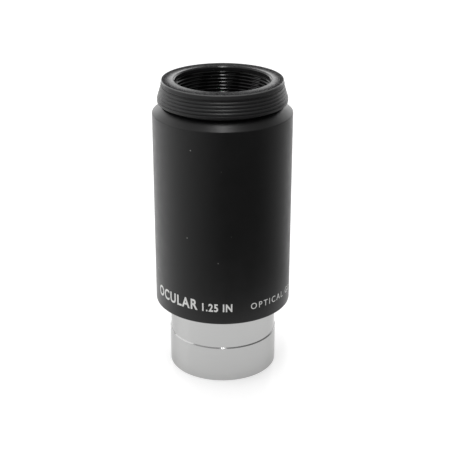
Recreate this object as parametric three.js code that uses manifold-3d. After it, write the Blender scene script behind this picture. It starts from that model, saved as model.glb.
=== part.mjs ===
// A long-body 1.25 inch telescope eyepiece of the Plossl type, standing on its nosepiece.
// Units are millimetres. +Z is up along the optical axis, and Z = 0 is the nosepiece's open end.
// The nosepiece slides into a telescope's focuser; the observer looks in at the other end.

import * as THREE from 'three';
import { mergeVertices } from 'three/addons/utils/BufferGeometryUtils.js';
import Module from 'manifold-3d';

const wasm = await Module();
wasm.setup();

// ---------------------------------------------------------------- driving dimensions

const SEGMENTS = 48;            // facets round every turned piece
const FACE_GAP = 0.05;          // between faces that bear on each other
const THREAD_GAP = 0.3;         // radial clearance where one piece screws into or grips another

// Nosepiece: the standard 1.25 inch barrel, with a shallow undercut for the focuser's clamp.
const NOSE_RADIUS = 31.75 / 2;
const NOSE_UNDERCUT_DEPTH = 0.3;
const NOSE_STEP_Z = 10.9;       // top of the full-diameter stretch
const NOSE_BORE_RADIUS = 13.5;
const FILTER_THREAD_RADIUS = 14.05;   // M28.5 x 0.6 filter thread, drawn as a plain counterbore
const FILTER_THREAD_DEPTH = 5.5;
const SPIGOT_RADIUS = 14.45;    // male thread that screws into the housing
const SPIGOT_LENGTH = 4.7;      // above the housing's underside

// Housing: one turned body with a conical shoulder and a neck that the eyecup grips.
const HOUSING_RADIUS = 19.8;
const HOUSING_BOTTOM_Z = 20.7;
const SOCKET_DEPTH = 0.5;       // shallow recess that the nosepiece's shoulder seats in
const SHOULDER_Z = 77.75;       // sharp edge where the shoulder cone starts
const SHOULDER_TOP_Z = 79.75;
const SHOULDER_TOP_RADIUS = 17.3;
const NECK_RADIUS = 14.7;
const NECK_BEAD_RADIUS = 15.3;  // raised bead that keeps the rubber on
const NECK_BEAD_Z = 83.9;
const NECK_TOP_Z = 85.7;
const EYE_BORE_RADIUS = 13.3;
const LENS_SEAT_Z = 68.6;       // step in the bore that the lens stack bears on

// Lens stack: two cemented doublets with their crowns facing each other.
const LENS_RADIUS = 13.6;
const LENS_ARC_STEPS = 5;
const FLINT_OUTER_CURVE = 160;  // shallow hollow of each outer face
const CEMENT_CURVE = 40;
const CROWN_INNER_CURVE = 38;
const FLINT_CENTRE = 1.9;       // thicknesses on the axis
const CROWN_CENTRE = 6.4;
const CEMENT_GAP = 0.1;
const CROWN_SPACING = 0.6;      // air between the two crowns on the axis
const SPACER_WALL = 0.7;

// Rings behind the lenses.
const RETAINER_HEIGHT = 3.4;
const RETAINER_WALL = 1.1;
const SPANNER_SLOT_WIDTH = 1.4;
const SPANNER_SLOT_DEPTH = 1.2;
const STOP_THICKNESS = 0.8;
const STOP_APERTURE_RADIUS = 13.3;
const STOP_RADIUS = 14.5;

// Eyecup: a rubber moulding, here turned down over its own base.
const EYECUP_TOP_Z = 87.1;
const EYECUP_FOLD_Z = 85.6;     // where the base's rim ends and the skirt begins
const EYECUP_RIM_RADIUS = 17.2;
const EYECUP_LIP_RADIUS = 18.3;
const EYECUP_LIP_BOTTOM_Z = 80.7;
const EYECUP_LIP_HEIGHT = 0.9;
const EYECUP_WALL = 0.8;
const EYECUP_TOP_WALL = 1.3;
const EYECUP_BASE_RADIUS = 16.3;

// ---------------------------------------------------------------- worked-out sizes

const undercutRadius = NOSE_RADIUS - NOSE_UNDERCUT_DEPTH;
const socketRadius = undercutRadius + THREAD_GAP;
const socketZ = HOUSING_BOTTOM_Z + SOCKET_DEPTH;
const noseTopZ = socketZ - FACE_GAP;
const spigotTopZ = HOUSING_BOTTOM_Z + SPIGOT_LENGTH;
const stopBottomZ = spigotTopZ + FACE_GAP;
const stopTopZ = stopBottomZ + STOP_THICKNESS;
const stopSeatZ = stopTopZ + FACE_GAP;
const threadBoreRadius = SPIGOT_RADIUS + THREAD_GAP;
const lensBoreRadius = LENS_RADIUS + THREAD_GAP;

// ---------------------------------------------------------------- materials

function material(color, roughness, metalness) {
  return new THREE.MeshStandardMaterial({ color, roughness, metalness });
}

const chrome = () => material(0xc9cacc, 0.12, 1.0);
const blackAnodised = () => material(0x151516, 0.42, 0.6);
const blackenedRing = () => material(0x0d0d0e, 0.6, 0.3);
const rubber = () => material(0x1d1d1e, 0.7, 0.0);
const opticalGlass = () => material(0xdfe8e4, 0.02, 0.0);

// ---------------------------------------------------------------- shape helpers

// Turns a closed outline of [radius, z] points, listed anticlockwise, about the Z axis.
function turned(outline) {
  const points = [...outline, outline[0]].map(([radius, z]) => new THREE.Vector2(radius, z));
  return new THREE.LatheGeometry(points, SEGMENTS).rotateX(Math.PI / 2);
}

// Turns an outline whose two ends lie on the Z axis.
function turnedSolid(outline) {
  const points = outline.map(([radius, z]) => new THREE.Vector2(radius, z));
  return new THREE.LatheGeometry(points, SEGMENTS).rotateX(Math.PI / 2);
}

// Depth of a spherical face of the given curve at a given radius.
function sag(curve, radius) {
  return curve - Math.sqrt(curve * curve - radius * radius);
}

// Points of a lens face from the axis out to the rim. bulge is +1 where the rim is above the middle.
function lensFace(middleZ, curve, bulge) {
  const points = [];
  for (let step = 0; step <= LENS_ARC_STEPS; step += 1) {
    const radius = (LENS_RADIUS * step) / LENS_ARC_STEPS;
    points.push([radius, middleZ + bulge * sag(curve, radius)]);
  }
  return points;
}

// A lens from its lower and upper faces, each listed from the axis outwards.
function lens(lowerFace, upperFace) {
  return turnedSolid([...lowerFace, ...[...upperFace].reverse()]);
}

function toManifold(geometry) {
  const bare = geometry.clone();
  bare.deleteAttribute('normal');
  bare.deleteAttribute('uv');
  const merged = mergeVertices(bare, 1e-4);
  return new wasm.Manifold(new wasm.Mesh({
    numProp: 3,
    vertProperties: new Float32Array(merged.attributes.position.array),
    triVerts: new Uint32Array(merged.index.array),
  }));
}

function fromManifold(solid) {
  const mesh = solid.getMesh();
  const geometry = new THREE.BufferGeometry();
  geometry.setAttribute('position', new THREE.BufferAttribute(mesh.vertProperties, 3));
  geometry.setIndex(new THREE.BufferAttribute(mesh.triVerts, 1));
  geometry.computeVertexNormals();
  return geometry;
}

// ---------------------------------------------------------------- nosepiece and field stop

function nosepiece() {
  const edge = 0.45;
  const step = NOSE_UNDERCUT_DEPTH;
  const relief = 0.25;
  return turned([
    [FILTER_THREAD_RADIUS + edge, 0],
    [NOSE_RADIUS - edge, 0],
    [NOSE_RADIUS, edge],
    [NOSE_RADIUS, NOSE_STEP_Z - step],
    [undercutRadius, NOSE_STEP_Z],
    [undercutRadius, noseTopZ],
    [SPIGOT_RADIUS - relief, noseTopZ],
    [SPIGOT_RADIUS - relief, noseTopZ + 2 * relief],
    [SPIGOT_RADIUS, noseTopZ + 3 * relief],
    [SPIGOT_RADIUS, spigotTopZ - relief],
    [SPIGOT_RADIUS - relief, spigotTopZ],
    [NOSE_BORE_RADIUS, spigotTopZ],
    [NOSE_BORE_RADIUS, FILTER_THREAD_DEPTH + edge],
    [FILTER_THREAD_RADIUS, FILTER_THREAD_DEPTH],
    [FILTER_THREAD_RADIUS, edge],
  ]);
}

// A loose ring on the nosepiece's inner end, bevelled to a thin edge that bounds the view.
function fieldStop() {
  const landing = 0.12;
  const bevel = 0.5;
  return turned([
    [STOP_APERTURE_RADIUS, stopBottomZ],
    [STOP_RADIUS, stopBottomZ],
    [STOP_RADIUS, stopTopZ],
    [STOP_APERTURE_RADIUS + bevel, stopTopZ],
    [STOP_APERTURE_RADIUS, stopBottomZ + landing],
  ]);
}

// ---------------------------------------------------------------- housing

function housing() {
  const edge = 0.25;
  return turned([
    [socketRadius, HOUSING_BOTTOM_Z],
    [HOUSING_RADIUS - edge, HOUSING_BOTTOM_Z],
    [HOUSING_RADIUS, HOUSING_BOTTOM_Z + edge],
    [HOUSING_RADIUS, SHOULDER_Z],
    [SHOULDER_TOP_RADIUS, SHOULDER_TOP_Z],
    [NECK_RADIUS, SHOULDER_TOP_Z],
    [NECK_RADIUS, NECK_BEAD_Z],
    [NECK_BEAD_RADIUS, NECK_BEAD_Z + edge],
    [NECK_BEAD_RADIUS, NECK_TOP_Z - 2 * edge],
    [NECK_BEAD_RADIUS - 2 * edge, NECK_TOP_Z],
    [EYE_BORE_RADIUS, NECK_TOP_Z],
    [EYE_BORE_RADIUS, LENS_SEAT_Z],
    [lensBoreRadius, LENS_SEAT_Z],
    [lensBoreRadius, stopSeatZ],
    [threadBoreRadius, stopSeatZ],
    [threadBoreRadius, socketZ],
    [socketRadius, socketZ],
  ]);
}

// ---------------------------------------------------------------- lenses and their rings

// The stack is worked out from the seat downwards, and its lower half mirrors its upper half.
const eyeRimZ = LENS_SEAT_Z - FACE_GAP;
const flintOuterZ = eyeRimZ - sag(FLINT_OUTER_CURVE, LENS_RADIUS);
const flintCementZ = flintOuterZ - FLINT_CENTRE;
const crownCementZ = flintCementZ - CEMENT_GAP;
const crownInnerZ = crownCementZ - CROWN_CENTRE;
const stackMiddleZ = crownInnerZ - CROWN_SPACING / 2;
const mirrored = (z) => 2 * stackMiddleZ - z;

function eyeFlint() {
  return lens(
    lensFace(flintCementZ, CEMENT_CURVE, -1),
    lensFace(flintOuterZ, FLINT_OUTER_CURVE, 1),
  );
}

function eyeCrown() {
  return lens(
    lensFace(crownInnerZ, CROWN_INNER_CURVE, 1),
    lensFace(crownCementZ, CEMENT_CURVE, -1),
  );
}

function fieldCrown() {
  return lens(
    lensFace(mirrored(crownCementZ), CEMENT_CURVE, 1),
    lensFace(mirrored(crownInnerZ), CROWN_INNER_CURVE, -1),
  );
}

function fieldFlint() {
  return lens(
    lensFace(mirrored(flintOuterZ), FLINT_OUTER_CURVE, -1),
    lensFace(mirrored(flintCementZ), CEMENT_CURVE, 1),
  );
}

// Keeps the two crowns apart, bearing on each of them along its inner edge.
function lensSpacer() {
  const innerRadius = LENS_RADIUS - SPACER_WALL;
  const topZ = crownInnerZ + sag(CROWN_INNER_CURVE, innerRadius) - FACE_GAP;
  const bottomZ = mirrored(topZ);
  return turned([
    [innerRadius, bottomZ],
    [LENS_RADIUS, bottomZ],
    [LENS_RADIUS, topZ],
    [innerRadius, topZ],
  ]);
}

// Screws up the housing's bore against the field flint. Two slots take a lens spanner.
function retainingRing() {
  const topZ = mirrored(eyeRimZ) - FACE_GAP;
  const bottomZ = topZ - RETAINER_HEIGHT;
  const innerRadius = LENS_RADIUS - RETAINER_WALL;
  const bevel = 0.5;
  const ring = turned([
    [innerRadius + bevel, bottomZ],
    [LENS_RADIUS, bottomZ],
    [LENS_RADIUS, topZ],
    [innerRadius, topZ],
    [innerRadius, bottomZ + bevel],
  ]);
  const slots = new THREE.BoxGeometry(3 * LENS_RADIUS, SPANNER_SLOT_WIDTH, 2 * SPANNER_SLOT_DEPTH);
  slots.translate(0, 0, bottomZ);
  return fromManifold(toManifold(ring).subtract(toManifold(slots)));
}

// ---------------------------------------------------------------- eyecup

// The part of the moulding that grips the neck, covers its rim and stands out over the skirt.
function eyecupBase() {
  const innerRadius = NECK_RADIUS + THREAD_GAP;
  const beadRadius = NECK_BEAD_RADIUS + THREAD_GAP;
  const undersideZ = EYECUP_TOP_Z - EYECUP_TOP_WALL;
  const edge = 0.3;
  return turned([
    [innerRadius, SHOULDER_TOP_Z + FACE_GAP],
    [EYECUP_BASE_RADIUS, SHOULDER_TOP_Z + FACE_GAP],
    [EYECUP_BASE_RADIUS, EYECUP_FOLD_Z],
    [EYECUP_RIM_RADIUS, EYECUP_FOLD_Z],
    [EYECUP_RIM_RADIUS - edge / 2, EYECUP_TOP_Z - edge],
    [EYECUP_RIM_RADIUS - 2 * edge, EYECUP_TOP_Z],
    [EYE_BORE_RADIUS + edge, EYECUP_TOP_Z],
    [EYE_BORE_RADIUS, EYECUP_TOP_Z - edge],
    [EYE_BORE_RADIUS, undersideZ],
    [beadRadius, undersideZ],
    [beadRadius, NECK_BEAD_Z],
    [innerRadius, NECK_BEAD_Z - edge],
  ]);
}

// The thin flared wall that turns inside out when the cup is raised.
function eyecupSkirt() {
  const topZ = EYECUP_FOLD_Z - FACE_GAP;
  const bottomZ = EYECUP_LIP_BOTTOM_Z + EYECUP_LIP_HEIGHT + FACE_GAP;
  const innerTopRadius = EYECUP_BASE_RADIUS + THREAD_GAP;
  const flareZ = (topZ + bottomZ) / 2;
  const bulge = 0.2;
  return turned([
    [EYECUP_LIP_RADIUS - EYECUP_WALL, bottomZ],
    [EYECUP_LIP_RADIUS, bottomZ],
    [(EYECUP_RIM_RADIUS + EYECUP_LIP_RADIUS) / 2 + bulge, flareZ],
    [EYECUP_RIM_RADIUS, topZ],
    [innerTopRadius, topZ],
    [EYECUP_LIP_RADIUS - EYECUP_WALL, flareZ],
  ]);
}

// The rounded free edge of the cup.
function eyecupLip() {
  const topZ = EYECUP_LIP_BOTTOM_Z + EYECUP_LIP_HEIGHT;
  const innerRadius = EYECUP_LIP_RADIUS - EYECUP_WALL;
  const edge = 0.25;
  return turned([
    [innerRadius, EYECUP_LIP_BOTTOM_Z],
    [EYECUP_LIP_RADIUS - edge, EYECUP_LIP_BOTTOM_Z],
    [EYECUP_LIP_RADIUS, EYECUP_LIP_BOTTOM_Z + edge],
    [EYECUP_LIP_RADIUS, topZ],
    [innerRadius, topZ],
  ]);
}

// ---------------------------------------------------------------- assembly

const pieces = [
  ['nosepiece', nosepiece, chrome],
  ['field_stop', fieldStop, blackenedRing],
  ['housing', housing, blackAnodised],
  ['retaining_ring', retainingRing, blackenedRing],
  ['field_flint', fieldFlint, opticalGlass],
  ['field_crown', fieldCrown, opticalGlass],
  ['lens_spacer', lensSpacer, blackenedRing],
  ['eye_crown', eyeCrown, opticalGlass],
  ['eye_flint', eyeFlint, opticalGlass],
  ['eyecup_base', eyecupBase, rubber],
  ['eyecup_skirt', eyecupSkirt, rubber],
  ['eyecup_lip', eyecupLip, rubber],
];

const eyepiece = new THREE.Group();
for (const [name, shape, finish] of pieces) {
  const mesh = new THREE.Mesh(shape(), finish());
  mesh.name = name;
  eyepiece.add(mesh);
}

export default eyepiece;
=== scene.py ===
"""A long-body telescope eyepiece standing on its chrome nosepiece, on a white floor in soft light.

Shapes are given in millimetres and turned about the Z axis, which is the optical axis.
Azimuth is measured from the front (-Y), and grows to the right.
"""

import math

import bmesh
import bpy
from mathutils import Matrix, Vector


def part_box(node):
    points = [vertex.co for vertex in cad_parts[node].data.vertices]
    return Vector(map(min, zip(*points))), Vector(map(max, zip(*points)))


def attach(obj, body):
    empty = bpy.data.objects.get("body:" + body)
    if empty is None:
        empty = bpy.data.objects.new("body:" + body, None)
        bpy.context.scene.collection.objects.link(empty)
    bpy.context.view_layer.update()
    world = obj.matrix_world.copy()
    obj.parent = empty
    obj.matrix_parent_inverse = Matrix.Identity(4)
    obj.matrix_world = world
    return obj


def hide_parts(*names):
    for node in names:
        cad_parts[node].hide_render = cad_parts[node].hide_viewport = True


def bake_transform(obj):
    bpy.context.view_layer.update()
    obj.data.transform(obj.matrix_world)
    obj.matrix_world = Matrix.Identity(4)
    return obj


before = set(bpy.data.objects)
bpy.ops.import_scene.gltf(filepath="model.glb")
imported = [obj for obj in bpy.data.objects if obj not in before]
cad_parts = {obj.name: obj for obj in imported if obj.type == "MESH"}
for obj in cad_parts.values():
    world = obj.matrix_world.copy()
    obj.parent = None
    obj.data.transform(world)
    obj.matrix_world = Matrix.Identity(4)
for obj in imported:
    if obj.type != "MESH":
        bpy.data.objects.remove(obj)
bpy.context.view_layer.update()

MM = 0.001
SEAT_GAP = 0.05                 # between a piece and the face it is seated against

# ---------------------------------------------------------------- sizes taken from the frame


def extent(node):
    """Outer radius, lowest z and highest z of a turned CAD node, in millimetres."""
    low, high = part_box(node)
    return high.x / MM, low.z / MM, high.z / MM


NOSE_RADIUS, NOSE_BOTTOM_Z, SPIGOT_TOP_Z = extent("nosepiece")
BODY_RADIUS, BODY_BOTTOM_Z, NECK_TOP_Z = extent("housing")
STOP_RADIUS, STOP_BOTTOM_Z, STOP_TOP_Z = extent("field_stop")
RETAINER_RADIUS, RETAINER_BOTTOM_Z, RETAINER_TOP_Z = extent("retaining_ring")
SPACER_RADIUS, SPACER_BOTTOM_Z, SPACER_TOP_Z = extent("lens_spacer")
RIM_RADIUS, COLLAR_BOTTOM_Z, CUP_TOP_Z = extent("eyecup_base")
FOLD_Z = extent("eyecup_skirt")[2]
LIP_RADIUS, LIP_BOTTOM_Z = extent("eyecup_lip")[:2]
LENS_SEAT_Z = extent("eye_flint")[2] + SEAT_GAP

# ---------------------------------------------------------------- other sizes

NOSE_UNDERCUT = 0.3             # how much the barrel is turned down above its step
NOSE_UNDERCUT_RADIUS = NOSE_RADIUS - NOSE_UNDERCUT
NOSE_STEP_Z = 10.9
NOSE_BORE_RADIUS = 13.5
NOSE_RIDGES_Z = 7.0             # where the ridges in the barrel's bore begin
FILTER_THREAD_RADIUS = 14.05
FILTER_THREAD_DEPTH = 5.5
FILTER_PITCH = 0.6
FILTER_GROOVE = 0.3             # depth of the thread, and so for the other grooves
SPIGOT_RADIUS = 14.45
SPIGOT_PITCH = 0.75             # of the thread that joins the nosepiece and the housing
SPIGOT_GROOVE = 0.38

SOCKET_DEPTH = 0.5
SOCKET_RADIUS = NOSE_RADIUS
THREAD_BORE_RADIUS = 14.75
BORE_GROOVE = 0.3
LENS_BORE_RADIUS = 13.9
EYE_BORE_RADIUS = 13.3
SHOULDER_Z = 77.75
SHOULDER_TOP_Z = 79.75
SHOULDER_TOP_RADIUS = 17.3
NECK_RADIUS = 14.7
NECK_BEAD_RADIUS = 15.3
NECK_BEAD_Z = 83.9
BAFFLE_PITCH = 1.0              # ridges cut down the eye bore against stray light
BAFFLE_DEPTH = 0.42
BAFFLE_PHASE = 0.62             # in turns, puts the first ridges where the photo shows them
NOSE_BAFFLE_DEPTH = 0.2

CUP_TOP_WALL = 1.3
CUP_DISH = 0.12                 # how far the middle of the cup's top lies below its edges
CUP_EDGE_INSET = 0.24           # from the rim's outside to the crisp edge of its top
COLLAR_RADIUS = 16.3
RIB_PITCH = 0.9                 # ribs moulded round the turned-down skirt
RIB_COUNT = 4
RIB_DEPTH = 0.3

CEMENT_CURVE = 40               # radii of the lens faces
CROWN_INNER_CURVE = 38
FLINT_OUTER_CURVE = 160

ROUND_STEPS = 240               # steps round a visible piece
INNER_ROUND_STEPS = 128         # steps round a piece hidden inside
SHARP_ANGLE = math.radians(32)

# ---------------------------------------------------------------- turned shapes


def rounded(outline, steps=5):
    """Points of a closed outline whose corners (radius, z, fillet) are rounded by their fillet."""
    longest_share = 0.48            # of a side that one fillet may take up
    points = []
    for index, corner in enumerate(outline):
        here = Vector(corner[:2])
        fillet = corner[2] if len(corner) > 2 else 0
        if fillet == 0:
            points.append(here)
            continue
        to_last = Vector(outline[index - 1][:2]) - here
        to_next = Vector(outline[(index + 1) % len(outline)][:2]) - here
        half = to_last.angle(to_next) / 2
        longest = longest_share * min(to_last.length, to_next.length)
        reach = min(fillet / math.tan(half), longest)
        bisector = (to_last.normalized() + to_next.normalized()).normalized()
        centre = here + bisector * (reach / math.cos(half))
        start = here + to_last.normalized() * reach - centre
        end = here + to_next.normalized() * reach - centre
        sweep = start.angle(end)
        for step in range(steps + 1):
            share = step / steps
            blend = start * math.sin((1 - share) * sweep) + end * math.sin(share * sweep)
            points.append(centre + blend / math.sin(sweep))
    return points


def supported(points, margin=0.05):
    """Adds a point near both ends of each long side, so that smooth shading leaves the side flat."""
    result = []
    for index, here in enumerate(points):
        following = points[(index + 1) % len(points)]
        side = following - here
        result.append(here)
        if side.length > 4 * margin:
            inset = side.normalized() * margin
            result += [here + inset, following - inset]
    return result


def wall(radius, from_z, to_z, spacing):
    """Closely spaced outline points up or down a straight wall, so that a thread can be cut in it."""
    count = max(1, round(abs(to_z - from_z) / spacing))
    return [(radius, from_z + (to_z - from_z) * step / count) for step in range(count + 1)]


def dished(from_radius, to_radius, rim_z, depth, steps=12):
    """Outline points of a shallow hollow between two radii."""
    points = []
    for step in range(steps + 1):
        share = step / steps
        drop = 4 * depth * share * (1 - share)
        points.append((from_radius + (to_radius - from_radius) * share, rim_z - drop))
    return points


def turned(name, outline, round_steps=ROUND_STEPS, thread=None):
    """A ring turned from a closed outline. thread gives the new radius of a point from its place."""
    points = supported(rounded(outline))
    vertices = []
    for step in range(round_steps):
        angle = 2 * math.pi * step / round_steps
        for radius, z in points:
            cut = thread(radius, z, angle) if thread else radius
            vertices.append((cut * math.cos(angle) * MM, cut * math.sin(angle) * MM, z * MM))
    faces = []
    for step in range(round_steps):
        this, following = step * len(points), (step + 1) % round_steps * len(points)
        for index in range(len(points)):
            after = (index + 1) % len(points)
            faces.append((this + index, following + index, following + after, this + after))
    return solid(name, vertices, faces)


def solid(name, vertices, faces):
    """A smooth-shaded object whose corners stay sharp."""
    mesh = bpy.data.meshes.new(name)
    mesh.from_pydata(vertices, [], faces)
    shade(mesh)
    made = bpy.data.objects.new(name, mesh)
    bpy.context.scene.collection.objects.link(made)
    return made


def shade(mesh):
    """Points the faces outwards and shades them smooth up to the sharp angle."""
    shape = bmesh.new()
    shape.from_mesh(mesh)
    bmesh.ops.recalc_face_normals(shape, faces=shape.faces)
    shape.to_mesh(mesh)
    shape.free()
    mesh.shade_smooth()
    mesh.set_sharp_from_angle(angle=SHARP_ANGLE)


def screw_thread(radius, low_z, high_z, pitch, depth, phase=0.0):
    """A right-handed thread cut into the wall at that radius, outwards for a positive depth."""
    off_wall = 1e-4
    flat = 0.15                     # share of the way from crest to root that is level, at each end

    def cut(here, z, angle):
        if abs(here - radius) > off_wall or not low_z < z < high_z:
            return here
        turn = z / pitch - angle / (2 * math.pi) - phase
        ramp = abs(2 * (turn % 1) - 1)
        groove = min(1, max(0, (ramp - flat) / (1 - 2 * flat)))
        run_out = min(1, (z - low_z) / pitch, (high_z - z) / pitch)
        return here + depth * groove * run_out

    return cut


def all_threads(*cuts):
    """One cut made of several, each in its own wall."""

    def cut(here, z, angle):
        for one in cuts:
            here = one(here, z, angle)
        return here

    return cut


# ---------------------------------------------------------------- material helpers


class Nodes:
    """Short calls for building a node tree."""

    def __init__(self, owner):
        owner.use_nodes = True
        self.tree = owner.node_tree

    def node(self, kind):
        return self.tree.nodes.new(kind)

    def link(self, output, socket):
        self.tree.links.new(output, socket)

    def remap(self, value, low, high, to_low, to_high):
        """A value rescaled from one range to another, and held inside it."""
        scale = self.node("ShaderNodeMapRange")
        ends = {"From Min": low, "From Max": high, "To Min": to_low, "To Max": to_high}
        for socket, number in ends.items():
            scale.inputs[socket].default_value = number
        self.link(value, scale.inputs["Value"])
        return scale.outputs["Result"]

    def math(self, operation, first, second=0.0):
        """The result of a sum, each side of which is a number or another node's output."""
        sum_node = self.node("ShaderNodeMath")
        sum_node.operation = operation
        for socket, value in zip(sum_node.inputs, (first, second)):
            if isinstance(value, (int, float)):
                socket.default_value = value
            else:
                self.link(value, socket)
        return sum_node.outputs["Value"]

    def vector(self, operation, first, second=None):
        """A vector sum of a node's output and a fixed vector."""
        sum_node = self.node("ShaderNodeVectorMath")
        sum_node.operation = operation
        self.link(first, sum_node.inputs[0])
        if second:
            sum_node.inputs[1].default_value = second
        return sum_node


class Finish(Nodes):
    """A node material with short calls for the textures that the finishes share."""

    def __init__(self, name, color, roughness, metallic=0.0):
        self.material = bpy.data.materials.new(name)
        super().__init__(self.material)
        self.shader = self.tree.nodes["Principled BSDF"]
        self.shader.inputs["Base Color"].default_value = (*color, 1)
        self.shader.inputs["Roughness"].default_value = roughness
        self.shader.inputs["Metallic"].default_value = metallic
        self.place = self.node("ShaderNodeTexCoord").outputs["Object"]
        self.normal = None

    def grain(self, size_mm, detail=3.0):
        """Noise with features of about that size."""
        noise = self.node("ShaderNodeTexNoise")
        noise.inputs["Scale"].default_value = 1 / (size_mm * MM)
        noise.inputs["Detail"].default_value = detail
        self.link(self.place, noise.inputs["Vector"])
        return noise.outputs["Fac"]

    def uneven(self, low, high, size_mm, detail=3.0):
        """A value that wanders between two others over patches of about that size."""
        return self.remap(self.grain(size_mm, detail), 0.3, 0.7, low, high)

    def marks(self, distance, size_mm):
        """Noise that changes only with that distance."""
        noise = self.node("ShaderNodeTexNoise")
        noise.noise_dimensions = "1D"
        noise.inputs["Scale"].default_value = 1 / (size_mm * MM)
        self.link(distance, noise.inputs["W"])
        return noise.outputs["Fac"]

    def height(self):
        """Distance up the optical axis."""
        split = self.node("ShaderNodeSeparateXYZ")
        self.link(self.place, split.inputs["Vector"])
        return split.outputs["Z"]

    def radius(self):
        """Distance from the optical axis."""
        flat = self.vector("MULTIPLY", self.place, (1, 1, 0)).outputs["Vector"]
        return self.vector("LENGTH", flat).outputs["Value"]

    def turning(self, size_mm):
        """Marks along Z, as a lathe tool leaves on a wall."""
        return self.marks(self.height(), size_mm)

    def rings(self, size_mm):
        """Concentric marks, as a lathe tool leaves on an end face."""
        return self.marks(self.radius(), size_mm)

    def roughness(self, value):
        self.link(value, self.shader.inputs["Roughness"])

    def colors(self, share, first, second):
        """The base colour goes from the first colour to the second with share."""
        mix = self.node("ShaderNodeMix")
        mix.data_type = "RGBA"
        self.link(share, mix.inputs["Factor"])
        mix.inputs["A"].default_value = (*first, 1)
        mix.inputs["B"].default_value = (*second, 1)
        self.link(mix.outputs["Result"], self.shader.inputs["Base Color"])

    def bump(self, height, depth_mm, strength=1.0):
        """Adds fine relief of that depth to what is there already."""
        bump = self.node("ShaderNodeBump")
        bump.inputs["Distance"].default_value = depth_mm * MM
        bump.inputs["Strength"].default_value = strength
        self.link(height, bump.inputs["Height"])
        if self.normal:
            self.link(self.normal, bump.inputs["Normal"])
        self.normal = bump.outputs["Normal"]
        self.link(self.normal, self.shader.inputs["Normal"])


# ---------------------------------------------------------------- finishes


def black_anodised():
    """Satin black over a bead-blasted surface, with faint lathe marks and a little dust."""
    black, dust_grey = (0.004, 0.004, 0.0042), (0.32, 0.32, 0.31)
    dust_spacing = 5.5
    finish = Finish("black_anodised", black, 0.36)
    finish.shader.inputs["IOR"].default_value = 1.46
    finish.roughness(finish.uneven(0.33, 0.39, 3.0))
    finish.bump(finish.grain(0.12), 0.004)
    finish.bump(finish.turning(0.25), 0.0015)
    dust = finish.node("ShaderNodeTexVoronoi")
    dust.inputs["Scale"].default_value = 1 / (dust_spacing * MM)
    finish.link(finish.place, dust.inputs["Vector"])
    speck = finish.remap(dust.outputs["Distance"], 0.018, 0.03, 1.0, 0.0)
    finish.colors(speck, black, dust_grey)
    return finish.material


def blackened_bore():
    """Glossy black inside the tubes, whose ridges have to catch stray light."""
    finish = Finish("blackened_bore", (0.004, 0.004, 0.004), 0.14)
    finish.shader.inputs["Specular IOR Level"].default_value = 0.4
    finish.roughness(finish.uneven(0.11, 0.16, 1.5))
    finish.bump(finish.grain(0.08), 0.004)
    return finish.material


def chrome_plate():
    """Bright chrome over fine turning marks, with a faint haze from handling."""
    finish = Finish("chrome_plate", (0.445, 0.445, 0.442), 0.1, metallic=1.0)
    finish.shader.inputs["Specular Tint"].default_value = (0.75, 0.75, 0.75, 1)
    finish.roughness(finish.uneven(0.07, 0.12, 6.0, detail=4.0))
    finish.bump(finish.turning(0.3), 0.0005)
    finish.bump(finish.grain(3.5), 0.006)
    return finish.material


def eyecup_rubber():
    """Moulded black rubber with fine concentric grooves on top, and a thin grey line painted round the
    top's edge as a highlight.
    """
    black, highlight_grey = (0.010, 0.010, 0.0104), (0.10, 0.10, 0.10)
    gloss_of_top = 0.17
    finish = Finish("eyecup_rubber", black, 0.38)
    finish.shader.inputs["Specular IOR Level"].default_value = 0.42
    on_top = finish.remap(finish.height(), (CUP_TOP_Z - 0.5) * MM, (CUP_TOP_Z - 0.4) * MM, 0.0, 1.0)
    moulded = finish.uneven(0.34, 0.44, 1.4)
    smoother = finish.math("MULTIPLY", on_top, gloss_of_top)
    finish.roughness(finish.math("SUBTRACT", moulded, smoother))
    finish.bump(finish.grain(0.18), 0.0012)
    finish.bump(finish.rings(0.16), 0.010)
    # A thin grey ring near the top's outer edge is a painted highlight, standing in for the light that
    # edge catches.
    edge_radius = (RIM_RADIUS - CUP_EDGE_INSET + 0.03) * MM
    from_edge = finish.math("ABSOLUTE", finish.math("SUBTRACT", finish.radius(), edge_radius))
    near_edge = finish.remap(from_edge, 0.03 * MM, 0.07 * MM, 1.0, 0.0)
    painted_highlight = finish.math("MULTIPLY", near_edge, on_top)
    finish.colors(painted_highlight, black, highlight_grey)
    return finish.material


def blackened_ring():
    """Chemically blackened metal with rings left by the tool."""
    finish = Finish("blackened_ring", (0.014, 0.014, 0.014), 0.5, metallic=0.2)
    finish.roughness(finish.uneven(0.42, 0.62, 0.8))
    finish.bump(finish.turning(0.12), 0.004)
    return finish.material


def coated_glass(name, tint):
    """Optical glass whose faint reflections take the tint of its coating."""
    finish = Finish(name, (0.97, 0.985, 0.975), 0.0)
    finish.shader.inputs["Transmission Weight"].default_value = 1.0
    finish.shader.inputs["IOR"].default_value = 1.52
    finish.shader.inputs["Specular Tint"].default_value = (*tint, 1)
    finish.roughness(finish.remap(finish.grain(4.0), 0.4, 0.7, 0.0, 0.015))
    return finish.material


def marking_paint():
    """White screen-printed ink, slightly uneven."""
    thick, thin = (0.72, 0.72, 0.71), (0.52, 0.52, 0.51)
    finish = Finish("marking_paint", thick, 0.55)
    thinning = finish.remap(finish.grain(0.35), 0.35, 0.7, 0.0, 1.0)
    finish.colors(thinning, thick, thin)
    finish.bump(finish.grain(0.1), 0.004)
    return finish.material


def dress(piece, body, slot, *materials):
    """Gives a piece its materials, and lets it ride on its body."""
    for material in materials:
        piece.data.materials.append(material)
    if body:
        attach(piece, body)
    return piece


def paint_inside(piece, radius, low_z, high_z):
    """Gives the faces inside that radius, between two heights, the piece's second material."""
    for face in piece.data.polygons:
        x, y, z = face.center / MM
        if math.hypot(x, y) < radius and low_z < z < high_z:
            face.material_index = 1


# ---------------------------------------------------------------- nosepiece and field stop


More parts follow.
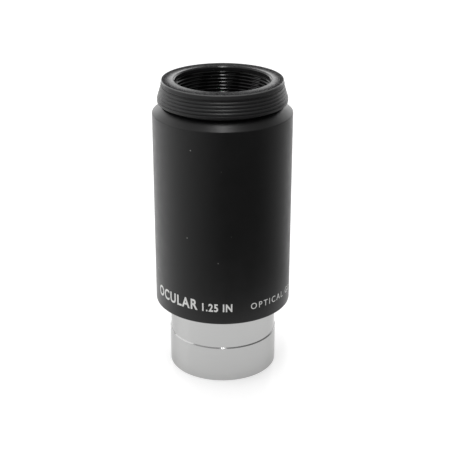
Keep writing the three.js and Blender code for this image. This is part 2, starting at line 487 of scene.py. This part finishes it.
def make_nosepiece(chrome, bore_black):
    """The 1.25 inch barrel: undercut, filter thread inside its mouth, male thread at its top."""
    shoulder_z = BODY_BOTTOM_Z + SOCKET_DEPTH - SEAT_GAP
    spigot_z = shoulder_z + 0.7
    spigot_root = SPIGOT_RADIUS - 0.35
    outline = [
        (FILTER_THREAD_RADIUS + 0.45, NOSE_BOTTOM_Z, 0.1),
        (NOSE_RADIUS, NOSE_BOTTOM_Z, 0.2),
        (NOSE_RADIUS, NOSE_STEP_Z - NOSE_UNDERCUT, 0.08),
        (NOSE_UNDERCUT_RADIUS, NOSE_STEP_Z, 0.03),
        (NOSE_UNDERCUT_RADIUS, shoulder_z, 0.1),
        (spigot_root, shoulder_z),
        (spigot_root, spigot_z - 0.2),
        *wall(SPIGOT_RADIUS, spigot_z, SPIGOT_TOP_Z - 0.25, SPIGOT_PITCH / 10),
        (SPIGOT_RADIUS - 0.3, SPIGOT_TOP_Z),
        (NOSE_BORE_RADIUS, SPIGOT_TOP_Z, 0.1),
        *wall(NOSE_BORE_RADIUS, SPIGOT_TOP_Z - 0.5, FILTER_THREAD_DEPTH + 0.45, BAFFLE_PITCH / 6),
        (FILTER_THREAD_RADIUS, FILTER_THREAD_DEPTH),
        *wall(FILTER_THREAD_RADIUS, FILTER_THREAD_DEPTH - 0.1, 0.45, FILTER_PITCH / 8),
    ]
    threads = all_threads(
        screw_thread(SPIGOT_RADIUS, spigot_z, SPIGOT_TOP_Z, SPIGOT_PITCH, -SPIGOT_GROOVE),
        screw_thread(FILTER_THREAD_RADIUS, 0.3, FILTER_THREAD_DEPTH - 0.2, FILTER_PITCH, FILTER_GROOVE),
        screw_thread(NOSE_BORE_RADIUS, NOSE_RIDGES_Z, SPIGOT_TOP_Z - 1, BAFFLE_PITCH, NOSE_BAFFLE_DEPTH),
    )
    piece = turned("nosepiece_barrel", outline, thread=threads)
    dress(piece, "nosepiece", "plated_nosepiece", chrome, bore_black)
    paint_inside(piece, NOSE_BORE_RADIUS + 0.4, FILTER_THREAD_DEPTH, SPIGOT_TOP_Z - 0.3)
    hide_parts("nosepiece")


def make_field_stop(black):
    """The loose ring whose thin inner edge bounds the view."""
    aperture = 13.3
    outline = [
        (aperture, STOP_BOTTOM_Z),
        (STOP_RADIUS, STOP_BOTTOM_Z, 0.08),
        (STOP_RADIUS, STOP_TOP_Z, 0.08),
        (aperture + 0.5, STOP_TOP_Z, 0.05),
        (aperture, STOP_BOTTOM_Z + 0.12),
    ]
    piece = turned("field_stop_ring", outline)
    dress(piece, "field_stop", "blackened_rings", black)
    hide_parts("field_stop")


# ---------------------------------------------------------------- housing and its markings


def make_housing(anodised, bore_black):
    """The long turned body, with its conical shoulder, threaded ends and ridged eye bore."""
    socket_z = BODY_BOTTOM_Z + SOCKET_DEPTH
    stop_seat_z = STOP_TOP_Z + SEAT_GAP
    ridges_z = LENS_SEAT_Z + 0.6
    outline = [
        (SOCKET_RADIUS, BODY_BOTTOM_Z, 0.08),
        (BODY_RADIUS, BODY_BOTTOM_Z, 0.22),
        (BODY_RADIUS, SHOULDER_Z, 0.35),
        (SHOULDER_TOP_RADIUS, SHOULDER_TOP_Z, 0.15),
        (NECK_RADIUS, SHOULDER_TOP_Z),
        (NECK_RADIUS, NECK_BEAD_Z),
        (NECK_BEAD_RADIUS, NECK_BEAD_Z + 0.25, 0.15),
        (NECK_BEAD_RADIUS, NECK_TOP_Z, 0.4),
        (EYE_BORE_RADIUS, NECK_TOP_Z, 0.1),
        *wall(EYE_BORE_RADIUS, NECK_TOP_Z - 0.3, LENS_SEAT_Z + 0.4, BAFFLE_PITCH / 9),
        (EYE_BORE_RADIUS, LENS_SEAT_Z, 0.05),
        (LENS_BORE_RADIUS, LENS_SEAT_Z),
        (LENS_BORE_RADIUS, RETAINER_TOP_Z + 1),
        *wall(LENS_BORE_RADIUS, RETAINER_TOP_Z, stop_seat_z + 0.5, SPIGOT_PITCH / 4),
        (LENS_BORE_RADIUS, stop_seat_z, 0.1),
        (THREAD_BORE_RADIUS, stop_seat_z),
        *wall(THREAD_BORE_RADIUS, stop_seat_z - 0.4, socket_z + 0.3, SPIGOT_PITCH / 6),
        (THREAD_BORE_RADIUS + 0.3, socket_z),
        (SOCKET_RADIUS, socket_z),
    ]
    threads = all_threads(
        screw_thread(EYE_BORE_RADIUS, ridges_z, NECK_TOP_Z + 1, BAFFLE_PITCH, BAFFLE_DEPTH, BAFFLE_PHASE),
        screw_thread(LENS_BORE_RADIUS, stop_seat_z + 0.6, RETAINER_TOP_Z, SPIGOT_PITCH, BORE_GROOVE),
        screw_thread(THREAD_BORE_RADIUS, socket_z + 0.2, stop_seat_z - 0.4, SPIGOT_PITCH, BORE_GROOVE),
    )
    piece = turned("housing_body", outline, thread=threads)
    dress(piece, "housing", "black_anodised", anodised, bore_black)
    paint_inside(piece, SOCKET_RADIUS - 0.2, STOP_TOP_Z, NECK_TOP_Z - 0.1)
    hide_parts("housing")


def letters(words, boldness, gap):
    """A flat mesh of thin solid letters, lying in X and Y, as Blender's own typeface draws them."""
    curve = bpy.data.curves.new("letters", "FONT")
    curve.body = words
    curve.offset = boldness
    curve.space_character = gap
    curve.extrude = 0.01
    curve.resolution_u = 6
    holder = bpy.data.objects.new("letters", curve)
    bpy.context.scene.collection.objects.link(holder)
    mesh = bpy.data.meshes.new_from_object(holder.evaluated_get(bpy.context.evaluated_depsgraph_get()))
    bpy.data.objects.remove(holder)
    return mesh


def print_on_body(name, words, paint, between, height, boldness=0.0, gap=1.0):
    """Wraps words round the body between two azimuths, as a thin layer of ink let into its surface."""
    first_azimuth, last_azimuth = (math.radians(azimuth) for azimuth in between)
    baseline_z = BODY_BOTTOM_Z + 3.9
    proud, sunk = 0.012, 0.03
    cut_spacing = 0.5
    shortest_edge = 0.001
    same_place = 1e-5
    mesh = letters(words, boldness, gap)
    low = [min(vertex.co[axis] for vertex in mesh.vertices) for axis in range(2)]
    high = [max(vertex.co[axis] for vertex in mesh.vertices) for axis in range(2)]
    width = (last_azimuth - first_azimuth) * BODY_RADIUS
    shape = bmesh.new()
    shape.from_mesh(mesh)
    bmesh.ops.remove_doubles(shape, verts=shape.verts, dist=same_place)
    for vertex in shape.verts:
        along = (vertex.co.x - low[0]) / (high[0] - low[0]) * width
        up = (vertex.co.y - low[1]) / (high[1] - low[1]) * height
        vertex.co = (along, up, proud if vertex.co.z > 0 else -sunk)
    for cut in range(1, int(width / cut_spacing)):
        everything = shape.verts[:] + shape.edges[:] + shape.faces[:]
        place = (cut * cut_spacing, 0, 0)
        bmesh.ops.bisect_plane(shape, geom=everything, plane_co=place, plane_no=(1, 0, 0))
    bmesh.ops.remove_doubles(shape, verts=shape.verts, dist=shortest_edge)
    bmesh.ops.dissolve_degenerate(shape, edges=shape.edges, dist=shortest_edge)
    bmesh.ops.triangulate(shape, faces=shape.faces)
    for vertex in shape.verts:
        azimuth = first_azimuth + vertex.co.x / BODY_RADIUS
        radius = BODY_RADIUS + vertex.co.z
        z = baseline_z + vertex.co.y
        vertex.co = (radius * math.sin(azimuth) * MM, -radius * math.cos(azimuth) * MM, z * MM)
    shape.to_mesh(mesh)
    shape.free()
    shade(mesh)
    piece = bpy.data.objects.new(name, mesh)
    bpy.context.scene.collection.objects.link(piece)
    dress(piece, "housing", "black_anodised", paint)


# ---------------------------------------------------------------- lenses and their rings


def sag(curve, radius):
    """Depth of a spherical face at that radius."""
    return curve - math.sqrt(curve * curve - radius * radius)


def make_lens(node, lower, upper, glass):
    """A lens in the place of a CAD lens.

    A face is (curve, +1 or -1), with +1 where its rim is the higher part.
    """
    radius, low_z, high_z = extent(node)
    rim_bevel = 0.12
    arc_steps = 24
    lower_middle = low_z if lower[1] > 0 else low_z + sag(lower[0], radius)
    upper_middle = high_z - sag(upper[0], radius) if upper[1] > 0 else high_z
    radii = [(radius - rim_bevel) * step / arc_steps for step in range(arc_steps + 1)]
    below = [(here, lower_middle + lower[1] * sag(lower[0], here)) for here in radii]
    above = [(here, upper_middle + upper[1] * sag(upper[0], here)) for here in radii]
    rim = [(radius, below[-1][1] + rim_bevel), (radius, above[-1][1] - rim_bevel)]
    points = below + rim + above[::-1]
    inner = points[1:-1]
    vertices = [(0, 0, points[0][1] * MM), (0, 0, points[-1][1] * MM)]
    faces = []
    for step in range(INNER_ROUND_STEPS):
        angle = 2 * math.pi * step / INNER_ROUND_STEPS
        vertices += [(r * math.cos(angle) * MM, r * math.sin(angle) * MM, z * MM) for r, z in inner]
        this = 2 + step * len(inner)
        following = 2 + (step + 1) % INNER_ROUND_STEPS * len(inner)
        faces.append((0, following, this))
        faces.append((1, this + len(inner) - 1, following + len(inner) - 1))
        for index in range(len(inner) - 1):
            faces.append((this + index, following + index, following + index + 1, this + index + 1))
    piece = solid(node + "_glass", vertices, faces)
    dress(piece, "housing", "coated_glass", glass)
    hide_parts(node)


def make_lens_spacer(black):
    """The tube that keeps the two inner lenses apart."""
    wall_thickness = 0.7
    outline = [
        (SPACER_RADIUS - wall_thickness, SPACER_BOTTOM_Z, 0.1),
        (SPACER_RADIUS, SPACER_BOTTOM_Z, 0.1),
        (SPACER_RADIUS, SPACER_TOP_Z, 0.1),
        (SPACER_RADIUS - wall_thickness, SPACER_TOP_Z, 0.1),
    ]
    piece = turned("lens_spacer_tube", outline, INNER_ROUND_STEPS)
    dress(piece, "housing", "blackened_rings", black)
    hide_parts("lens_spacer")


def make_retaining_ring(black):
    """The ring that holds the lenses in, with two slots for a spanner in its lower face."""
    wall_thickness, bevel = 1.1, 0.5
    slot_width, slot_depth = 1.4, 1.2
    outline = [
        (RETAINER_RADIUS - wall_thickness + bevel, RETAINER_BOTTOM_Z, 0.05),
        (RETAINER_RADIUS, RETAINER_BOTTOM_Z, 0.1),
        (RETAINER_RADIUS, RETAINER_TOP_Z, 0.1),
        (RETAINER_RADIUS - wall_thickness, RETAINER_TOP_Z, 0.1),
        (RETAINER_RADIUS - wall_thickness, RETAINER_BOTTOM_Z + bevel, 0.05),
    ]
    piece = turned("retaining_ring_black", outline, INNER_ROUND_STEPS)
    cutter_shape = bmesh.new()
    bmesh.ops.create_cube(cutter_shape, size=1)
    sizes = Vector((3 * RETAINER_RADIUS, slot_width, 2 * slot_depth)) * MM
    bmesh.ops.scale(cutter_shape, vec=sizes, verts=cutter_shape.verts)
    bmesh.ops.translate(cutter_shape, vec=(0, 0, RETAINER_BOTTOM_Z * MM), verts=cutter_shape.verts)
    cutter_mesh = bpy.data.meshes.new("slot_cutter")
    cutter_shape.to_mesh(cutter_mesh)
    cutter_shape.free()
    cutter = bpy.data.objects.new("slot_cutter", cutter_mesh)
    bpy.context.scene.collection.objects.link(cutter)
    slots = piece.modifiers.new("slots", "BOOLEAN")
    slots.object = cutter
    slots.operation = "DIFFERENCE"
    slots.solver = "EXACT"
    cut_mesh = bpy.data.meshes.new_from_object(piece.evaluated_get(bpy.context.evaluated_depsgraph_get()))
    piece.modifiers.clear()
    piece.data = cut_mesh
    bpy.data.objects.remove(cutter)
    shade(cut_mesh)
    dress(piece, "housing", "blackened_rings", black)
    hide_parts("retaining_ring")


# ---------------------------------------------------------------- eyecup


def make_eyecup_base(rubber):
    """The part of the moulding that grips the neck and covers its rim, with a slightly dished top."""
    neck_clearance = 0.3
    inner_radius = NECK_RADIUS + neck_clearance
    bead_radius = NECK_BEAD_RADIUS + neck_clearance
    fold_z = FOLD_Z + 0.05
    underside_z = CUP_TOP_Z - CUP_TOP_WALL
    outline = [
        (inner_radius, COLLAR_BOTTOM_Z, 0.1),
        (COLLAR_RADIUS, COLLAR_BOTTOM_Z, 0.2),
        (COLLAR_RADIUS, fold_z),
        (RIM_RADIUS - 0.1, fold_z, 0.12),
        (RIM_RADIUS + 0.05, fold_z + 0.35, 0.2),
        (RIM_RADIUS - CUP_EDGE_INSET, CUP_TOP_Z, 0.06),
        *dished(RIM_RADIUS - CUP_EDGE_INSET - 0.12, EYE_BORE_RADIUS + 0.5, CUP_TOP_Z - 0.01, CUP_DISH),
        (EYE_BORE_RADIUS + 0.3, CUP_TOP_Z - 0.02, 0.1),
        (EYE_BORE_RADIUS, CUP_TOP_Z - 0.35, 0.15),
        (EYE_BORE_RADIUS, underside_z, 0.1),
        (bead_radius, underside_z),
        (bead_radius, NECK_BEAD_Z),
        (inner_radius, NECK_BEAD_Z - 0.3),
    ]
    piece = turned("eyecup_collar", outline)
    dress(piece, "housing", "eyecup_rubber", rubber)
    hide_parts("eyecup_base")


def make_eyecup_skirt(rubber):
    """The ribbed skirt and its free edge, turned down."""
    ribs_top_z = FOLD_Z - 0.22
    ribs_bottom_z = ribs_top_z - RIB_COUNT * RIB_PITCH
    crest_growth = (LIP_RADIUS - RIM_RADIUS) / RIB_COUNT
    inner_radius = LIP_RADIUS - 0.85
    top_inner_radius = COLLAR_RADIUS + 0.3
    outline = [
        (inner_radius, ribs_bottom_z),
        (inner_radius, LIP_BOTTOM_Z, 0.2),
        (LIP_RADIUS, LIP_BOTTOM_Z, 0.35),
        (LIP_RADIUS, ribs_bottom_z - 0.15, 0.4),
        (LIP_RADIUS - RIB_DEPTH, ribs_bottom_z + 0.04, 0.05),
    ]
    for rib in range(RIB_COUNT, 0, -1):
        low_z = ribs_top_z - rib * RIB_PITCH
        crest = RIM_RADIUS + rib * crest_growth
        outline += [
            (crest, low_z + 0.14, 0.08),
            (crest - 0.04, low_z + 0.45, 0.3),
            (crest - crest_growth - 0.7 * RIB_DEPTH, low_z + RIB_PITCH - 0.04, 0.05),
        ]
    outline += [
        (RIM_RADIUS - 0.02, ribs_top_z + 0.04, 0.02),
        (RIM_RADIUS - 0.02, FOLD_Z),
        (top_inner_radius, FOLD_Z),
        (top_inner_radius + 0.05, FOLD_Z - 0.6, 0.5),
    ]
    piece = turned("eyecup_skirt_and_lip", outline)
    dress(piece, None, "eyecup_rubber", rubber)
    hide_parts("eyecup_skirt", "eyecup_lip")
    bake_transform(piece)


# ---------------------------------------------------------------- stage, light and camera

WALL_LEFT, WALL_RIGHT = 0.62, 0.27
WALL_BACK, WALL_BACK_SIDES = 0.03, 1.9
BACK_STARTS, BACK_FULL = 0.45, 0.85         # parts of a direction that point to the back
DARK_GAP_INSIDE, DARK_GAP_OUTSIDE = 0.035, 0.09
FLOOR_GLOW = 0.52
FILL_POWER = 3.15               # watts
LEFT_POWER = 1.0
KEY_POWER = 0.94
AIM_Z = BODY_BOTTOM_Z + 30


def make_floor():
    """A plain white floor with a faint gloss, lit from below as well, so that shadows on it stay light."""
    half_size = 4.0
    below_the_object = 0.02
    mesh = bpy.data.meshes.new("floor")
    corners = [(x * half_size, y * half_size, 0) for x, y in ((-1, -1), (1, -1), (1, 1), (-1, 1))]
    mesh.from_pydata(corners, [], [(0, 1, 2, 3)])
    floor = bpy.data.objects.new("floor", mesh)
    bpy.context.scene.collection.objects.link(floor)
    floor.location.z = -below_the_object * MM
    finish = Finish("white_floor", (0.6, 0.6, 0.6), 0.3)
    finish.shader.inputs["Specular IOR Level"].default_value = 0.35
    finish.shader.inputs["Emission Color"].default_value = (1, 1, 1, 1)
    finish.shader.inputs["Emission Strength"].default_value = FLOOR_GLOW
    mesh.materials.append(finish.material)


def make_flag():
    """A dark card lying in front of the view and to its right, which the camera doesn't see.

    It thins out towards the back and the left, so that the black body's reflections fade with it.
    """
    near, far = 60 * MM, 3.0
    above_the_floor = 0.3
    darkest = 0.94
    clear_from, dark_from = -0.75, 0.9          # cosines of the angle away from the bearing
    bearing = math.radians(30)
    steps = 96
    vertices = []
    for step in range(steps):
        angle = 2 * math.pi * step / steps
        for radius in (near, far):
            vertices.append((radius * math.cos(angle), radius * math.sin(angle), above_the_floor * MM))
    faces = []
    for step in range(steps):
        this, following = 2 * step, 2 * ((step + 1) % steps)
        faces.append((this, this + 1, following + 1, following))
    mesh = bpy.data.meshes.new("flag")
    mesh.from_pydata(vertices, [], faces)
    flag = bpy.data.objects.new("flag", mesh)
    bpy.context.scene.collection.objects.link(flag)
    flag.visible_camera = False
    flag.visible_diffuse = False
    flag.visible_shadow = False
    flag.visible_transmission = False
    finish = Finish("flag_card", (0.0, 0.0, 0.0), 1.0)
    finish.shader.inputs["Specular IOR Level"].default_value = 0.0
    direction = finish.vector("NORMALIZE", finish.place).outputs["Vector"]
    towards = (math.sin(bearing), -math.cos(bearing), 0)
    facing = finish.vector("DOT_PRODUCT", direction, towards).outputs["Value"]
    finish.link(finish.remap(facing, clear_from, dark_from, 0.0, darkest), finish.shader.inputs["Alpha"])
    mesh.materials.append(finish.material)


def make_world():
    """The walls of the light tent: brighter to the left, and brightest at both sides of the back.

    The camera sees a plain white wall.
    """
    world = bpy.data.worlds.new("tent")
    nodes = Nodes(world)
    split = nodes.node("ShaderNodeSeparateXYZ")
    nodes.link(nodes.node("ShaderNodeTexCoord").outputs["Generated"], split.inputs["Vector"])
    x, y = split.outputs["X"], split.outputs["Y"]
    walls = nodes.remap(x, -0.6, 0.6, WALL_LEFT, WALL_RIGHT)
    back = nodes.remap(y, BACK_STARTS, BACK_FULL, 0.0, 1.0)
    aside = nodes.math("ABSOLUTE", x)
    side = nodes.remap(aside, DARK_GAP_INSIDE, DARK_GAP_OUTSIDE, WALL_BACK, WALL_BACK_SIDES)
    towards_back = nodes.math("MULTIPLY", back, side)
    towards_front = nodes.math("MULTIPLY", nodes.math("SUBTRACT", 1.0, back), walls)
    seen_by_light = nodes.math("ADD", towards_back, towards_front)
    camera_ray = nodes.node("ShaderNodeLightPath").outputs["Is Camera Ray"]
    strength = nodes.math("MAXIMUM", seen_by_light, camera_ray)
    nodes.link(strength, nodes.tree.nodes["Background"].inputs["Strength"])
    nodes.tree.nodes["Background"].inputs["Color"].default_value = (1, 1, 1, 1)
    bpy.context.scene.world = world


def add_light(name, location, width, length, power, in_reflections=True):
    """A soft light aimed at the middle of the object. Reflections leave it out if told to."""
    light = bpy.data.lights.new(name, "AREA")
    light.shape = "RECTANGLE"
    light.size = width
    light.size_y = length
    light.energy = power
    lamp = bpy.data.objects.new(name, light)
    bpy.context.scene.collection.objects.link(lamp)
    lamp.location = location
    lamp.visible_glossy = in_reflections
    middle = Vector((0, 0, AIM_Z)) * MM
    lamp.rotation_euler = (middle - lamp.location).to_track_quat("-Z", "Y").to_euler()


def make_lights():
    """A broad fill that whitens the floor, a softbox on the left, and a narrow strip over the front."""
    add_light("fill", (0, 0.05, 0.9), width=0.8, length=0.8, power=FILL_POWER, in_reflections=False)
    add_light("left", (-0.75, 0.15, 0.45), width=0.6, length=0.6, power=LEFT_POWER)
    add_light("key", (0, -0.18, 0.68), width=0.07, length=0.366, power=KEY_POWER)


def make_camera():
    """The view from the front, a little above, with the lens of a small studio camera."""
    camera = bpy.data.objects.new("camera", bpy.data.cameras.new("camera"))
    bpy.context.scene.collection.objects.link(camera)
    camera.location = Vector((0.68, -296.97, 168.04)) * MM
    pitch_down = math.radians(22.83)
    camera.rotation_euler = (math.pi / 2 - pitch_down, 0, 0)
    camera.data.sensor_width = 36
    camera.data.lens = 88.11
    camera.data.clip_start = 0.01
    camera.data.clip_end = 20
    bpy.context.scene.camera = camera
    bpy.context.scene.view_settings.view_transform = "Standard"


# ---------------------------------------------------------------- the eyepiece


def make_eyepiece():
    anodised = black_anodised()
    bore_black = blackened_bore()
    ring_black = blackened_ring()
    rubber = eyecup_rubber()
    paint = marking_paint()
    green_glass = coated_glass("coated_glass_green", (0.35, 0.9, 0.55))
    violet_glass = coated_glass("coated_glass_violet", (0.6, 0.45, 0.95))

    make_nosepiece(chrome_plate(), bore_black)
    make_field_stop(ring_black)
    make_housing(anodised, bore_black)
    print_on_body("marking_name", "OCULAR", paint, (-67, -21), height=3.3, boldness=0.025, gap=1.16)
    print_on_body("marking_barrel_size", "1.25 IN", paint, (-17, 8), height=2.5, boldness=0.028, gap=1.14)
    print_on_body("marking_glass", "OPTICAL GLASS", paint, (24, 92), height=1.9, gap=1.35)

    make_lens("field_flint", (FLINT_OUTER_CURVE, -1), (CEMENT_CURVE, 1), violet_glass)
    make_lens("field_crown", (CEMENT_CURVE, 1), (CROWN_INNER_CURVE, -1), green_glass)
    make_lens("eye_crown", (CROWN_INNER_CURVE, 1), (CEMENT_CURVE, -1), green_glass)
    make_lens("eye_flint", (CEMENT_CURVE, -1), (FLINT_OUTER_CURVE, 1), violet_glass)
    make_lens_spacer(ring_black)
    make_retaining_ring(ring_black)

    make_eyecup_base(rubber)
    make_eyecup_skirt(rubber)


make_camera()
make_eyepiece()
make_floor()
make_flag()
make_world()
make_lights()
